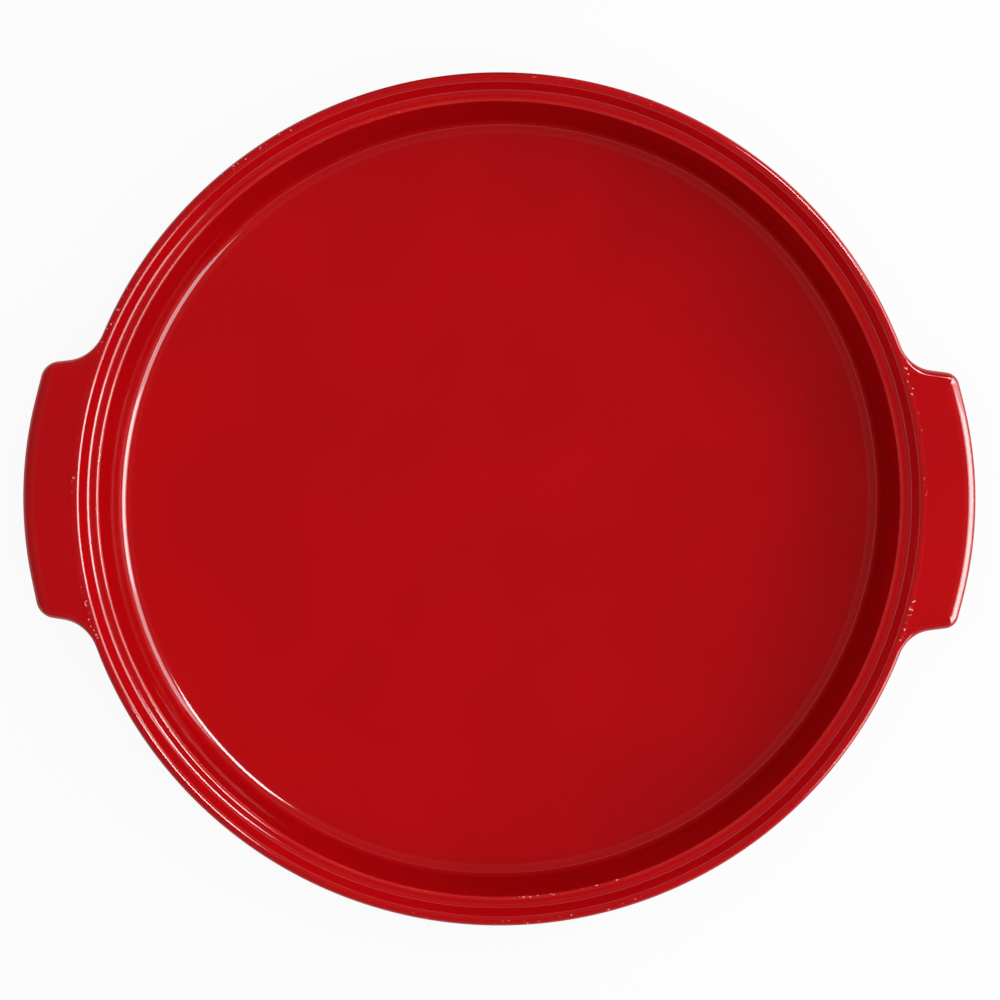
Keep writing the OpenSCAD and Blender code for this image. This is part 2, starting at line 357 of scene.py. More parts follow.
class Nodes:
    """A node tree, filled through make."""

    def __init__(self, tree):
        self.tree = tree
        self.tree.nodes.clear()

    def make(self, kind, inputs=None, settings=None, output=0):
        """Adds a node with its settings, then sets or links its sockets, and returns an output."""
        node = self.tree.nodes.new(kind)
        for key, value in (settings or {}).items():
            setattr(node, key, value)
        for key, value in (inputs or {}).items():
            if isinstance(value, Value):
                self.tree.links.new(value.socket, node.inputs[key])
            else:
                node.inputs[key].default_value = value
        return Value(self, node.outputs[output])

    def end(self, kind, value):
        """Adds the tree's output node and links the value to it."""
        self.tree.links.new(value.socket, self.tree.nodes.new(kind).inputs[0])

    def math(self, kind, a, b=None):
        inputs = {0: a} if b is None else {0: a, 1: b}
        return self.make("ShaderNodeMath", inputs, {"operation": kind})

    def axis(self, vector, name):
        return self.make("ShaderNodeSeparateXYZ", {0: vector}, output=name)

    def band(self, value, low, high, fade):
        """1 between low and high, and 0 from a fade beyond them."""
        return self.smooth(value, low - fade, low) * (1 - self.smooth(value, high, high + fade))

    def length(self, x, y):
        return self.math("SQRT", x * x + y * y)

    def smooth(self, value, low, high):
        inputs = {0: value, 1: low, 2: high, 3: 0.0, 4: 1.0}
        return self.make("ShaderNodeMapRange", inputs, {"interpolation_type": "SMOOTHSTEP"})


# Meshes


def placed(name, data):
    """An object of the data, in the scene."""
    item = bpy.data.objects.new(name, data)
    bpy.context.scene.collection.objects.link(item)
    return item


def skin(name, rows, materials):
    """A closed mesh over rows of points, which run round the piece and close at single points."""
    points, rings, faces = [], [], []
    for row in rows:
        rings.append(range(len(points), len(points) + len(row)))
        points += row
    for a, b in zip(rings, rings[1:]):
        count = max(len(a), len(b))
        for i in range(count):
            j = (i + 1) % count
            corners = (a[i % len(a)], a[j % len(a)], b[j % len(b)], b[i % len(b)])
            # A row of one point makes triangles
            faces.append(tuple(dict.fromkeys(corners)))
    mesh = bpy.data.meshes.new(name)
    mesh.from_pydata(points, [], faces)
    for material in materials:
        mesh.materials.append(material)
    for face in mesh.polygons:
        face.use_smooth = True
        face.material_index = int(face.center.z < BARE_BELOW)
    return placed(name, mesh)


def ring(point, angles):
    """The circle that a point of an outline draws when it is turned about the middle."""
    if point.x < MERGED:
        return [(0, 0, point.y)]
    return [(point.x * math.cos(a), point.x * math.sin(a), point.y) for a in angles]


def turning_tree():
    """Geometry Nodes that turn an outline in the XZ plane about an upright axis."""
    tree = bpy.data.node_groups.new("turned_outline", "GeometryNodeTree")
    sockets = {}
    for name, kind in (
        ("Outline", "Geometry"), ("Columns", "Int"), ("Centre", "Vector"),
        ("Bare below", "Float"), ("Glaze", "Material"), ("Clay", "Material"),
    ):
        socket = tree.interface.new_socket(name, in_out="INPUT", socket_type="NodeSocket" + kind)
        sockets[name] = socket.identifier
    tree.interface.new_socket("Piece", in_out="OUTPUT", socket_type="NodeSocketGeometry")

    g = Nodes(tree)
    given = {name: g.make("NodeGroupInput", output=name) for name in sockets}
    rows = g.make("GeometryNodeAttributeDomainSize", {0: given["Outline"]})
    grid = {"Vertices X": given["Columns"] + 1, "Vertices Y": rows}
    index = g.make("GeometryNodeInputIndex")
    row = g.math("MODULO", index, rows)
    column = g.math("FLOOR", index / rows)
    place = g.make("GeometryNodeInputPosition")
    point = g.make(
        "GeometryNodeSampleIndex", {"Geometry": given["Outline"], "Value": place, "Index": row},
        {"data_type": "FLOAT_VECTOR"},
    )
    radius = g.axis(point, "X")
    angle = column * math.tau / given["Columns"]
    circle = g.make("ShaderNodeCombineXYZ", {
        "X": radius * g.math("COSINE", angle),
        "Y": radius * g.math("SINE", angle),
        "Z": g.axis(point, "Z"),
    })
    moved = g.make("ShaderNodeVectorMath", {0: circle, 1: given["Centre"]}, {"operation": "ADD"})
    piece = g.make("GeometryNodeMeshGrid", grid)
    for kind, inputs in (
        ("SetPosition", {"Position": moved}),
        ("MergeByDistance", {"Distance": MERGED}),
        ("SetShadeSmooth", {}),
        ("RealizeInstances", {}),
        ("SetMaterial", {"Material": given["Glaze"]}),
        ("SetMaterial", {
            "Selection": g.axis(place, "Z") < given["Bare below"], "Material": given["Clay"],
        }),
    ):
        piece = g.make("GeometryNode" + kind, {"Geometry": piece, **inputs})
    g.end("NodeGroupOutput", piece)
    return tree, sockets


def turned(name, outline, values):
    """A plain mesh object of an outline turned by turning_tree."""
    maker = placed(name + "_outline", outline)
    modifier = maker.modifiers.new("turned", "NODES")
    modifier.node_group, sockets = turning_tree()
    for key, value in values.items():
        modifier[sockets[key]] = value
    graph = bpy.context.evaluated_depsgraph_get()
    mesh = bpy.data.meshes.new_from_object(maker.evaluated_get(graph))
    bpy.data.objects.remove(maker)
    return placed(name, mesh)


# Base

# Steps of a handle's outline from above
PLAN_STEP = math.radians(6)

# Share of a step round the rim by which two columns stand apart at least
CROWDED = 0.02

# How far outwards an edge of a handle has turned where it starts to be the outer edge, as a
# cosine, and how much further it turns until it is
OUTER_FROM = 0.6
OUTER_RISE = 0.35

# Share of the handle that its lower and its upper edge may round off where it starts
LOWER_SHARE = 0.8
UPPER_SHARE = 0.9

# Rows of a handle: steps of its root and its lower edge, shares of the way over its underside
# and its top, and slopes of its upper edge
ROOT_STEPS = 4
EDGE_STEPS = 8
FLATS = (0.03, 0.3, 0.6, 0.97)
TILTS = [math.radians(a) for a in (90, 80, 68, 55, 42, 33, 24, 15, 7, 0)]

# Steps of the crown's outside from a handle's top up
CROWN_STEPS = 4


class BaseShape:
    """The base's outline and its handles' outline, worked out from the sizes."""

    def __init__(self, sizes, handles):
        s, h = self.s, self.h = sizes, handles
        self.rim, self.top = BASE_HIGH.y, BASE_HIGH.z
        self.crown_in = (
            self.rim - s.crown_out - s.crown_flat - s.crown_in * math.tan(s.step_slope / 2)
        )
        self.step_foot = self.crown_in - s.step_depth / math.tan(s.step_slope)
        self.lip = self.step_foot - s.ledge_width
        self.ledge = self.top - s.step_depth
        self.floor = s.foot_height + s.floor_thickness
        self.handle_top = self.top - h.drop
        self.handle_bottom = self.handle_top - h.thickness
        self.crown = Vector((self.rim - s.crown_out, self.top - s.crown_out))
        # Lean from upright of the crown's outside where a handle's top meets it
        self.meeting = math.acos((self.handle_top - self.crown.y) / s.crown_out)
        self.band = Vector((self.rim - s.band_edge, self.top - s.band_height + s.band_edge))
        # Centre of the root's arc, which touches the band's lower edge and a handle's underside
        fall = self.band.y - self.handle_bottom + h.root
        reach = math.sqrt((s.band_edge + h.root) ** 2 - fall**2)
        self.root = Vector((self.band.x + reach, self.handle_bottom - h.root))
        self.root_lean = math.atan(fall / reach)
        touch = Vector((math.cos(self.root_lean), -math.sin(self.root_lean)))
        self.contact = self.band + touch * s.band_edge

    def root_radius(self, beyond, lean):
        """Radius of the root's arc at a lean, which opens out with the handle."""
        out = self.root.x + self.h.root * math.cos(lean) - self.contact.x
        return self.contact.x + out * min(1, beyond / self.h.blend)

    def lower_inset(self, beyond):
        """Inset of the lower edge's rounding in a handle that reaches so far beyond the rim."""
        room = beyond + self.rim - self.root_radius(beyond, math.pi / 2)
        return min(self.h.lower_edge, LOWER_SHARE * room)

    def below(self):
        """From under the middle out to the lower edge of the rim's band."""
        s = self.s
        wall = direction(math.pi / 2 - s.wall_lean)
        along = Vector((1, 0))
        outside = Vector((self.lip + s.wall_thickness / math.cos(s.wall_lean), self.ledge))
        heel = crossing(outside, wall, Vector((0, s.foot_height)), along)
        band = Vector((self.rim, self.top - s.band_height))
        root = crossing(band, direction(s.band_slope), outside, wall)
        inner = s.foot_radius - s.foot_width / 2
        outer = s.foot_radius + s.foot_width / 2
        return [
            corner(0, s.foot_height),
            corner(inner - s.foot_height, s.foot_height, s.foot_height),
            corner(inner, 0, s.foot_height / 3),
            corner(outer, 0, s.foot_height / 3),
            corner(outer + s.foot_height, s.foot_height, s.foot_height),
            (heel, s.cove + s.wall_thickness),
            (root, s.band_fillet),
            (band, s.band_edge),
            corner(self.rim, self.top),
        ]

    def above(self):
        """From the crown of the rim in over the step, the ledge and the wall to the floor."""
        s = self.s
        wall = direction(math.pi / 2 - s.wall_lean)
        along = Vector((1, 0))
        lip = Vector((self.lip, self.ledge))
        wall_foot = crossing(lip, wall, Vector((0, self.floor)), along)
        # The floor's bend ends where the cove starts, so the rise between them has no straight
        cove_turn = math.pi / 2 - s.wall_lean - s.floor_edge_slope
        rise = s.floor_edge * math.tan(s.floor_edge_slope / 2) + s.cove * math.tan(cove_turn / 2)
        way = direction(s.floor_edge_slope)
        back = rise * (way.x - way.y * math.tan(s.wall_lean))
        flat_end = Vector((wall_foot.x - back, self.floor))
        cove = crossing(flat_end, way, wall_foot, wall)
        return [
            corner(self.rim - s.crown_out, self.top),
            corner(self.crown_in, self.top, s.crown_in),
            corner(self.step_foot, self.ledge, s.step_foot),
            (lip, s.lip),
            (cove, s.cove),
            (flat_end, s.floor_edge),
            corner(0, self.floor),
        ]

    def handle_plan(self, hand):
        """Handle 0 or 1's outline from above, along +X, with the inward direction at each point."""
        h = self.h
        corner_radius, bend_radius = h.corner[hand], h.bend[hand]
        side = Vector((self.rim, h.width / 2))
        along = direction(-h.taper)
        # The bend's centre is bend_radius off the side and as much off the rim
        start = side + quarter_turn(along) * bend_radius
        b = start.dot(along)
        c = start.dot(start) - (self.rim + bend_radius) ** 2
        rim_out = unit(start + along * (math.sqrt(b * b - c) - b))
        rim_along = quarter_turn(rim_out)
        touch = rim_out * self.rim
        # The outer edge's arc ends two corner radii short of the sides, and runs on straight
        tip_angle = math.asin((h.width / 2 - 2 * corner_radius) / h.tip)
        tip_centre = Vector(((BASE_HIGH.x, -BASE_LOW.x)[hand] - h.tip, 0))
        tip_end = tip_centre + direction(tip_angle) * h.tip
        tip_corner = crossing(tip_end, direction(tip_angle + math.pi / 2), side, along)
        upper = [
            corner(tip_centre.x + h.tip / math.cos(tip_angle), 0, h.tip),
            (tip_corner, corner_radius),
            (crossing(side, along, touch, rim_along), bend_radius),
            (touch + rim_along * MM, 0),
        ]
        lower = [corner(p.x, -p.y, radius) for p, radius in reversed(upper[1:])]
        line = rounded(lower + upper, PLAN_STEP, FINE)[1:-1]
        fine = [line[0]]
        for p, q in zip(line, line[1:]):
            parts = max(1, math.ceil((q - p).length / FINE))
            fine += [p.lerp(q, k / parts) for k in range(1, parts + 1)]
        ends = [fine[0], *fine, fine[-1]]
        return fine, [unit(quarter_turn(q - p)) for p, q in zip(ends, ends[2:])]


class Column:
    """One upright cut through the rim: its angle, its outermost point and the way in from there.

    beyond is how far that point lies beyond the rim, growth how far the cut has a handle's form,
    and facing how far it is at a handle's outer edge.
    """

    def __init__(self, angle, edge, inward, beyond=0, growth=0, facing=0):
        self.angle, self.edge, self.inward = angle, edge, inward
        self.beyond, self.growth, self.facing = beyond, growth, facing

    def point(self, radius, part, inset, z):
        """From inset within the outermost point towards the circle of a radius, by part."""
        p = (self.edge + self.inward * inset).lerp(direction(self.angle) * radius, part)
        return Vector((p.x, p.y, z))


def base_columns(shape, count):
    """Columns along both handles' outlines, and evenly round the rim between them."""
    columns = []
    middle = (shape.rim + BASE_HIGH.x) / 2
    for hand, turn in enumerate((shape.h.turn, math.pi + shape.h.skew)):
        for point, into in zip(*shape.handle_plan(hand)):
            beyond = max(0, point.length - shape.rim)
            facing = eased((-into.x - OUTER_FROM) / OUTER_RISE) if point.x > middle else 0
            within = spun(point + into * shape.lower_inset(beyond), turn)
            angle = math.atan2(within.y, within.x) % math.tau
            growth = eased(beyond / shape.h.blend)
            edge, inward = spun(point, turn), spun(into, turn)
            columns.append(Column(angle, edge, inward, beyond, growth, facing))
    columns.sort(key=lambda column: column.angle)
    step = math.tau / count
    filled = []
    for a, b in zip(columns, columns[1:] + columns[:1]):
        gap = (b.angle - a.angle) % math.tau
        if gap > CROWDED * step:
            filled.append(a)
        parts = round(gap / step)
        for k in range(1, parts):
            angle = (a.angle + gap * k / parts) % math.tau
            out = direction(angle)
            filled.append(Column(angle, out * shape.rim, -out))
    filled.sort(key=lambda column: column.angle)
    return filled


class RimProfile:
    """Points up the upright cuts through the rim, from the root of the handles to the crown.

    The bare band and a handle have as many, so that the one can swell into the other.
    """

    def __init__(self, shape):
        self.shape, self.s, self.h = shape, shape.s, shape.h
        self.crown_foot = shape.crown.x + shape.s.crown_out * math.sin(shape.meeting)
        self.inside = shape.rim - self.crown_foot

    def rows(self, columns):
        cuts = [
            [tuple(p.lerp(q, c.growth)) for p, q in zip(self.band(c), self.handle(c), strict=True)]
            for c in columns
        ]
        return list(zip(*cuts))

    def band(self, column):
        """Up the bare band and over the outside of the crown."""
        shape, s, point = self.shape, self.s, column.point
        points = []
        for k in range(ROOT_STEPS):
            lean = shape.root_lean * (1 - k / (ROOT_STEPS - 1))
            radius = shape.band.x + s.band_edge * math.cos(lean)
            points.append(point(radius, 1, 0, shape.band.y - s.band_edge * math.sin(lean)))
        # As many as a handle has from the end of its root to the start of its upper edge
        wall_steps = len(FLATS) + EDGE_STEPS + 3
        for k in range(1, wall_steps + 1):
            z = shape.band.y + (shape.crown.y - shape.band.y) * k / wall_steps
            points.append(point(shape.rim, max(0, 1 - k / (len(FLATS) + 1)), 0, z))
        # The rows of a handle's upper edge come up to here, and those of its top go on
        between = 2 * shape.meeting
        for k in range(1, len(TILTS) + 1):
            part = k / len(TILTS)
            start, z = self.crown(math.pi / 2 * (1 - part) + between * part)
            points.append(point(0, 0, start, z))
        for k in range(1, len(FLATS) + 2):
            part = k / (len(FLATS) + 1)
            inset, z = self.crown(between * (1 - part) + shape.meeting * part)
            part = (inset - start) / (self.inside - start)
            points.append(point(self.crown_foot, part, start, z))
        return points

    def crown(self, lean):
        """Inset and height on the crown's outside, where its radius leans so far from upright."""
        inset = self.s.crown_out * (1 - math.sin(lean))
        return inset, self.shape.crown.y + self.s.crown_out * math.cos(lean)

    def handle(self, column):
        """Round the root, along the underside, up the outer edge and back along the top."""
        shape, h, beyond = self.shape, self.h, column.beyond
        low, high = shape.handle_bottom, shape.handle_top
        point, points = column.point, []
        for k in range(ROOT_STEPS + 1):
            part = k / ROOT_STEPS
            lean = (math.pi - shape.root_lean) * (1 - part) + math.pi / 2 * part
            z = shape.root.y + h.root * math.sin(lean)
            points.append(point(shape.root_radius(beyond, lean), 1, 0, z))
        radius, inset = shape.root_radius(beyond, math.pi / 2), shape.lower_inset(beyond)
        points += [point(radius, 1 - part, inset, low) for part in FLATS]
        for k in range(EDGE_STEPS + 1):
            turn = math.pi / 2 * (1 - k / EDGE_STEPS)
            z = low + h.lower_edge * (1 - math.sin(turn))
            points.append(point(0, 0, inset * (1 - math.cos(turn)), z))
        points.append(point(0, 0, 0, (low + high) / 2))
        for tilt in TILTS:
            z = high - self.rounding(column, tilt).y
            points.append(point(0, 0, self.upper_inset(column, tilt), z))
        inset = self.upper_inset(column, 0)
        return points + [point(self.crown_foot, p, inset, high) for p in (*FLATS, 1)]

    def rounding(self, column, tilt):
        """Inset and drop of the upper edge, which has two radii at a handle's outer edge."""
        h = self.h
        sine, cosine = math.sin(tilt), math.cos(tilt)
        end_sine, end_cosine = math.sin(h.tip_turn), math.cos(h.tip_turn)
        side = Vector((1 - sine, 1 - cosine)) * h.side_edge
        if tilt > h.tip_turn:
            tip = Vector((1 - sine, end_cosine - cosine)) * h.tip_rim
            tip.y += (1 - end_cosine) * h.tip_edge
        else:
            tip = Vector((end_sine - sine, 1 - cosine)) * h.tip_edge
            tip.x += (1 - end_sine) * h.tip_rim
        return side.lerp(tip, column.facing)

    def upper_inset(self, column, tilt):
        """Inset of the upper edge, held back where a handle is narrower than its rounding."""
        room = UPPER_SHARE * (column.beyond + self.inside)
        return self.rounding(column, tilt).x * min(1, room / self.rounding(column, 0).x)


def base_rows(shape, count):
    """Rows from under the middle, out and up round the rim, and in to the middle of the floor."""
    columns = base_columns(shape, count)
    angles = [column.angle for column in columns]
    below = supported(rounded(shape.below(), ARC_STEP, FINE))
    below = [p for p in below if p.y < shape.contact.y - GUARD / 2 or p.x < shape.band.x]
    crown = []
    for k in range(CROWN_STEPS - 1, 0, -1):
        lean = math.pi / 2 - shape.meeting * k / CROWN_STEPS
        crown.append(shape.crown + direction(lean) * shape.s.crown_out)
    above = supported(crown + rounded(shape.above(), ARC_STEP, FINE))
    rows = [ring(p, angles) for p in below]
    rows += RimProfile(shape).rows(columns)
    rows += [ring(p, angles) for p in above]
    return rows


def drawn_out(rows, shape):
    """The rows as the firing has left them: a little oval at the rim, and askew at the floor."""
    oval = shape.s.oval / shape.rim
    reach = BASE_HIGH.x - shape.rim
    skew = shape.s.warp / shape.lip

    def moved(x, y, z):
        # The handles' outer edges stay in place
        fade = min(1, max(0, (BASE_HIGH.x - math.hypot(x, y)) / reach))
        depth = max(0, (shape.ledge - z) / shape.ledge)
        k, q = oval * fade, skew * eased(depth)
        return x * (1 + k) + y * q, y * (1 - k) + x * q, z

    return [[moved(*p) for p in row] for row in rows]


# Lid


def lid_outline(s):
    """The lid's outline from the middle of its inside out, round the rim and up to the knob."""
    side_way = direction(math.pi / 2 + s.lean)
    fall = direction(-s.shoulder_slope)
    top_way = direction(-s.dome_slope)
    height = LID_HIGH.z
    # Rounding takes a little off the reach of the rim's lower corner
    rim = Vector((LID_RADIUS + s.edge * (1 / math.tan((math.pi / 2 - s.lean) / 2) - 1), 0))
    shoulder = crossing(rim, side_way, Vector((0, s.shoulder_height)), Vector((1, 0)))
    neck = Vector((s.neck, s.dome_height))
    crest = crossing(shoulder, fall, neck, top_way)
    cap = neck + Vector((0, s.knob_gap))
    cap_edge = Vector((s.knob, cap.y + (s.knob - s.neck) * math.tan(s.knob_slope)))
    dish = s.knob - 2 * s.knob_edge
    in_rim = rim - Vector((s.wall / math.cos(s.lean), 0))
    in_shoulder = crossing(
        in_rim, side_way, shoulder - Vector((0, s.wall / math.cos(s.shoulder_slope))), fall
    )
    in_top = neck - Vector((0, s.wall / math.cos(s.dome_slope)))
    in_crest = crossing(in_shoulder, fall, in_top, top_way)
    core = s.neck - s.knob_wall
    core_top = height - s.knob_wall - s.knob_dish
    return [
        corner(0, core_top),
        corner(core, core_top, core / 2),
        corner(core, in_top.y + s.knob_wall * math.tan(s.dome_slope), s.knob_wall / 2),
        (in_crest, s.shoulder_high - s.wall),
        (in_shoulder, s.shoulder_low - s.wall),
        (in_rim, s.edge),
        (rim, s.edge),
        (shoulder, s.shoulder_low),
        (crest, s.shoulder_high),
        (neck, s.neck_fillet),
        (cap, s.neck_fillet),
        (cap_edge, s.knob_edge),
        corner(s.knob, height, s.knob_edge),
        corner(dish, height, s.knob_edge),
        corner(dish / 2, height - s.knob_dish, s.knob),
        corner(0, height - s.knob_dish),
    ]


# Finishes

# Patterns in the glaze: the scale and detail of their noise, and the noise over which they come up
CLOUDS = (22, 3, 0.35, 0.65)
RUNS = (30, 3, 0.30, 0.65)
PATCHES = (18, 2, 0.48, 0.66)
PINHOLES = (900, 0, 0.72, 0.80)
SPECKS = (1400, 1, 0.70, 0.76)

# Relief of the glaze and the clay: the scale and detail of the noise, and the glaze's shares
SWELLS, SWELL_SHARE = (9, 2), 0.6
RIPPLES, RIPPLE_SHARE = (260, 2), 0.02
GRAIN = (900, 4, 0.6)

# Height of the whole relief in the glaze and in the clay
GLAZE_RELIEF = 1.5 * MM
CLAY_RELIEF = 0.3 * MM

# Brightness of the darker parts of the glaze and the clay
DARKER_GLAZE = 0.82
DARKER_CLAY = 0.72

# Refraction of the glaze
REFRACTION = 1.55

# Where the dish's wall is dull: up from the floor, down from the ledge and out to beyond the lip
WALL_FROM, WALL_TO, WALL_BEYOND = 3 * MM, 2 * MM, 2 * MM
WALL_FADE = 1 * MM

# Where the glaze is thin and a highlight is partly painted on as lighter red, out from the lip and
# down from the ledge, and how thin and light it is there, all along and in runs
THIN_SHEEN_FROM, THIN_SHEEN_TO, THIN_SHEEN_DEPTH = 0.2 * MM, 0.9 * MM, 1.4 * MM
THIN_SHEEN_ALONG, THIN_SHEEN_RUNS = 0.15, 0.4

# Where it is pinholed, in from the rim and down from the crown, and the fade beside both places
EDGE_FROM, EDGE_TO, EDGE_DEPTH = 2 * MM, 0.9 * MM, 1.6 * MM
EDGE_FADE = 0.4 * MM

# Where the handles' ends meet the crown, along y and from the middle along x, and how many more
# pinholes they have, in how much wider patches
ENDS_FROM, ENDS_TO, ENDS_FADE = 42 * MM, 54 * MM, 4 * MM
ENDS_BEYOND = 130 * MM
ENDS_PINHOLES, ENDS_PATCHES = 0.07, 0.3


class Shader(Nodes):
    """The node tree of one material."""

    def __init__(self, name):
        self.material = bpy.data.materials.new(name)
        self.material.use_nodes = True
        super().__init__(self.material.node_tree)

    def noise(self, place, scale, detail, roughness=0.5):
        inputs = {"Vector": place, "Scale": scale, "Detail": detail, "Roughness": roughness}
        return self.make("ShaderNodeTexNoise", inputs)

    def pattern(self, place, kind, more=None):
        """A pattern of the glaze, with more of it where more is higher."""
        scale, detail, low, high = kind
        noise = self.noise(place, scale, detail)
        return self.smooth(noise if more is None else noise + more, low, high)

    def mix(self, factor, a, b):
        return self.make("ShaderNodeMix", {0: factor, 6: a, 7: b}, {"data_type": "RGBA"}, 2)

    def principled(self, colour, roughness, more):
        inputs = {"Base Color": colour, "Roughness": roughness, **more}
        return self.make("ShaderNodeBsdfPrincipled", inputs)

    def bump(self, height, strength, distance):
        inputs = {"Strength": strength, "Distance": distance, "Height": height}
        return self.make("ShaderNodeBump", inputs)

    def finish(self, surface):
        self.end("ShaderNodeOutputMaterial", surface)
        return self.material


def rgba(c, part=1.0):
    """A part of a colour, as a socket takes it."""
    return (*(v * part for v in c), 1.0)


def glaze_material(name, finish, shape=None):
    """Glossy glaze with faint clouds, fine specks and a soft unevenness.

    The base's glaze is also thin on the lip, where a highlight is partly painted on as lighter red,
    pinholed there and on the crown's outer edge, and duller on the dish's wall.
    """
    s = Shader(name)
    place = s.make("ShaderNodeTexCoord", output=3)
    darker = rgba(finish.glaze, DARKER_GLAZE)
    red = s.mix(s.pattern(place, CLOUDS) * finish.clouds, rgba(finish.glaze), darker)
    red = s.mix(s.pattern(place, SPECKS) * finish.specks, red, rgba(finish.thin_glaze_and_sheen))
    if shape:
        red, dull = worn_glaze_and_sheen(s, place, red, finish, shape)
    relief = s.noise(place, *SWELLS) * SWELL_SHARE + s.noise(place, *RIPPLES) * RIPPLE_SHARE
    bump = s.bump(relief, finish.glaze_relief, GLAZE_RELIEF)
    surface = s.principled(red, finish.glaze_roughness, {"Normal": bump, "IOR": REFRACTION})
    if shape:
        plain = s.principled(red, 1.0, {"Specular IOR Level": 0.0})
        surface = s.make("ShaderNodeMixShader", {0: dull, 1: surface, 2: plain})
    return s.finish(surface)


def worn_glaze_and_sheen(s, place, red, finish, shape):
    """The red with the base's thin glaze, partly a painted highlight on the lip, and its pinholes,
    and where the dish's wall is dull.
    """
    x, y, z = (s.axis(place, name) for name in "XYZ")
    oval = shape.s.oval / shape.rim
    radius = s.length(x / (1 + oval), y / (1 - oval))
    wall = s.band(z, shape.floor + WALL_FROM, shape.ledge - WALL_TO, WALL_FADE)
    dull = (radius < shape.lip + WALL_BEYOND) * wall * finish.dull
    # Band on the lip painted a lighter red: thin glaze, and partly a painted highlight along the
    # lip
    thin_and_sheen = s.band(radius, shape.lip + THIN_SHEEN_FROM, shape.lip + THIN_SHEEN_TO, EDGE_FADE)
    thin_and_sheen = thin_and_sheen * (z > shape.ledge - THIN_SHEEN_DEPTH)
    thinness_and_sheen = s.pattern(place, RUNS) * THIN_SHEEN_RUNS + THIN_SHEEN_ALONG
    red = s.mix(thin_and_sheen * thinness_and_sheen, red, rgba(finish.thin_glaze_and_sheen))
    edge = s.band(radius, shape.rim - EDGE_FROM, shape.rim - EDGE_TO, EDGE_FADE)
    edge = edge * (z > shape.top - EDGE_DEPTH)
    # Both ends of the right handle, and the left one's end towards -Y
    ends = s.math("MAXIMUM", x > ENDS_BEYOND, (x < -ENDS_BEYOND) * (y < 0))
    ends = edge * ends * s.band(s.math("ABSOLUTE", y), ENDS_FROM, ENDS_TO, ENDS_FADE)
    pinhole = s.pattern(place, PINHOLES, ends * ENDS_PINHOLES)
    patch = s.pattern(place, PATCHES, ends * ENDS_PATCHES)
    holes = (edge + thin_and_sheen) * pinhole * patch * finish.pinholes
    return s.mix(holes, red, rgba(finish.pinhole)), dull


def clay_material(name, finish):
    """Bare fired clay with a fine grain."""
    s = Shader(name)
    place = s.make("ShaderNodeTexCoord", output=3)
    grain = s.noise(place, *GRAIN)
    clay = s.mix(grain, rgba(finish.clay), rgba(finish.clay, DARKER_CLAY))
    bump = s.bump(grain, finish.clay_relief, CLAY_RELIEF)
    return s.finish(s.principled(clay, finish.clay_roughness, {"Normal": bump}))


# Operators

# Share of the wide box's distance at which its brighter middle stands before it
CORE_NEARER = 0.97

# Camera: width of its sensor in millimetres, and how far it sees in metres
SENSOR = 36
SIGHT = 20


class CLOCHE_OT_base(bpy.types.Operator):
    """Builds the base with its glaze and its bare foot ring"""

    bl_idname = "cloche.base"
    bl_label = "Base"

    def execute(self, context):
        scene = context.scene
        shape = BaseShape(scene.cloche_base, scene.cloche_handles)
        rows = drawn_out(base_rows(shape, scene.cloche_base.columns), shape)
        materials = [
            glaze_material("base_glaze", scene.cloche_finish, shape),
            clay_material("base_clay", scene.cloche_finish),
        ]
        base = skin("cloche_base", rows, materials)
        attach(base, "base")
        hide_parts("base")
        return {"FINISHED"}


class CLOCHE_OT_lid(bpy.types.Operator):
    """Turns the lid's outline and leaves the underside of its rim bare"""

    bl_idname = "cloche.lid"
    bl_label = "Lid"

    def execute(self, context):
        scene = context.scene
        sizes = scene.cloche_lid
        points = supported(rounded(lid_outline(sizes), ARC_STEP, FINE))
        mesh = bpy.data.meshes.new("lid_outline")
        mesh.from_pydata([(p.x, 0, p.y) for p in points], [], [])
        lid = turned("cloche_lid", mesh, {
            "Columns": sizes.columns,
            "Centre": (LID_CENTRE.x, LID_CENTRE.y, 0),
            "Bare below": BARE_BELOW,
            "Glaze": glaze_material("lid_glaze", scene.cloche_finish),
            "Clay": clay_material("lid_clay", scene.cloche_finish),
        })
        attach(lid, "lid")
        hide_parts("lid")
        return {"FINISHED"}


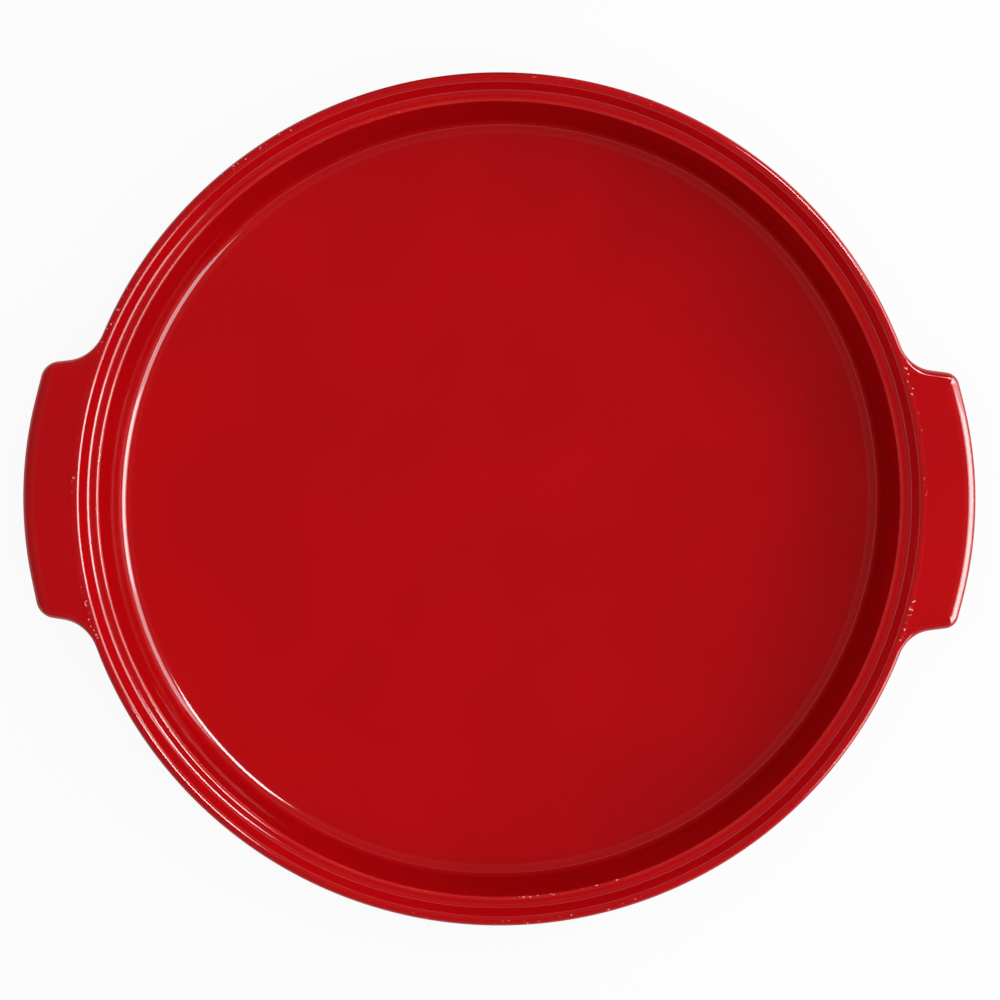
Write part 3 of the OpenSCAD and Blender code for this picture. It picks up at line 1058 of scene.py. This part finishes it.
class CLOCHE_OT_stage(bpy.types.Operator):
    """Sets the white floor, the room light, the soft boxes and the camera over the base"""

    bl_idname = "cloche.stage"
    bl_label = "Stage"

    def execute(self, context):
        scene = context.scene
        look = scene.cloche_stage
        scene.view_settings.view_transform = "Standard"
        self.room(look)
        self.floor(look)
        box = (look.box_azimuth, look.box_height)
        spot = (look.spot_azimuth, look.spot_height)
        side = (look.side_azimuth, look.side_height)
        away = look.lamp_distance
        for name, distance, place, unlit in (
            ("box", away, box, "visible_diffuse"),
            ("core", CORE_NEARER * away, box, "visible_diffuse"),
            ("spot", away, spot, "visible_diffuse"),
            ("side", away, side, "visible_glossy"),
            ("top", look.top_distance, (0, math.pi / 2), "visible_glossy"),
        ):
            lamp = self.lamp(look, name, distance, place)
            setattr(lamp, unlit, False)
        self.camera(scene, look)
        return {"FINISHED"}

    def room(self, look):
        """White near the horizon on every side, and dark overhead, where a camera hangs."""
        world = bpy.data.worlds.new("room")
        world.use_nodes = True
        s = Nodes(world.node_tree)
        height = s.axis(s.make("ShaderNodeTexCoord"), "Z")
        rise = s.smooth(height, math.sin(look.white_to), math.sin(look.room_from))
        hole = s.smooth(height, math.cos(look.hole), math.cos(look.hole / 3))
        light = 1 + rise * (look.room - 1) + hole * (look.overhead - look.room)
        seen = s.make("ShaderNodeLightPath", output="Is Camera Ray")
        back = s.make("ShaderNodeBackground", {"Strength": light + seen * (1 - light)})
        s.end("ShaderNodeOutputWorld", back)
        bpy.context.scene.world = world

    def floor(self, look):
        """A white floor that takes shadows, and that looks white in the glaze too."""
        r = look.floor_reach
        mesh = bpy.data.meshes.new("floor")
        corners = [(-r, -r, 0), (r, -r, 0), (r, r, 0), (-r, r, 0)]
        mesh.from_pydata(corners, [], [(0, 1, 2, 3)])
        floor = placed("floor", mesh)
        s = Shader("white_floor")
        diffuse = s.make("ShaderNodeBsdfDiffuse", {"Color": rgba(look.floor_colour)})
        white = s.make("ShaderNodeEmission", {"Color": (1, 1, 1, 1), "Strength": 1.0})
        camera, glossy, through = (
            s.make("ShaderNodeLightPath", output=name)
            for name in ("Is Camera Ray", "Is Glossy Ray", "Is Transmission Ray")
        )
        seen = (camera + glossy + through) * look.floor_glow
        mix = s.make("ShaderNodeMixShader", {0: seen, 1: diffuse, 2: white})
        mesh.materials.append(s.finish(mix))

    def lamp(self, look, name, distance, place):
        """A soft box that faces the base, with the size and the brightness given for its face."""
        azimuth, height = place
        size = getattr(look, name + "_size")
        light = bpy.data.lights.new(name, "AREA")
        light.shape = "RECTANGLE"
        light.size, light.size_y = size
        light.energy = getattr(look, name + "_level") * size[0] * size[1] * math.pi
        lamp = placed(name, light)
        lamp.visible_camera = False
        c, d = math.cos(height), direction(azimuth)
        way = Vector((d.x * c, d.y * c, math.sin(height)))
        lamp.location = way * distance
        lamp.rotation_euler = way.to_track_quat("Z", "Y").to_euler()
        return lamp

    def camera(self, scene, look):
        """Straight above the base, with the field as wide as the picture at the rim."""
        data = bpy.data.cameras.new("camera")
        data.lens = SENSOR * look.distance / look.field
        data.clip_end = SIGHT
        camera = placed("camera", data)
        camera.location = (look.aim[0], look.aim[1], BASE_HIGH.z + look.distance)
        scene.camera = camera


class CLOCHE_PT_panel(bpy.types.Panel):
    """Lists the cloche's pieces and finishes"""

    bl_idname = "CLOCHE_PT_panel"
    bl_label = "Bread cloche"
    bl_space_type = "VIEW_3D"
    bl_region_type = "UI"
    bl_category = "Cloche"

    def draw(self, context):
        for group in (getattr(context.scene, name) for name in GROUPS):
            box = self.layout.box()
            for name in group.bl_rna.properties.keys():
                if name not in ("rna_type", "name"):
                    box.prop(group, name)
        for operator in OPERATORS:
            self.layout.operator(operator.bl_idname)


# Registration

OPERATORS = (CLOCHE_OT_base, CLOCHE_OT_lid, CLOCHE_OT_stage)
GROUPS = {
    "cloche_base": ClocheBase,
    "cloche_handles": ClocheHandles,
    "cloche_lid": ClocheLid,
    "cloche_finish": ClocheFinish,
    "cloche_stage": ClocheStage,
}
CLASSES = (*GROUPS.values(), *OPERATORS, CLOCHE_PT_panel)


def register():
    for cls in CLASSES:
        bpy.utils.register_class(cls)
    for name, group in GROUPS.items():
        setattr(bpy.types.Scene, name, PointerProperty(type=group))


def unregister():
    for name in GROUPS:
        delattr(bpy.types.Scene, name)
    for cls in reversed(CLASSES):
        bpy.utils.unregister_class(cls)


def main():
    register()
    bpy.ops.cloche.base()
    bpy.ops.cloche.lid()
    bpy.ops.cloche.stage()


if __name__ == "__main__":
    main()
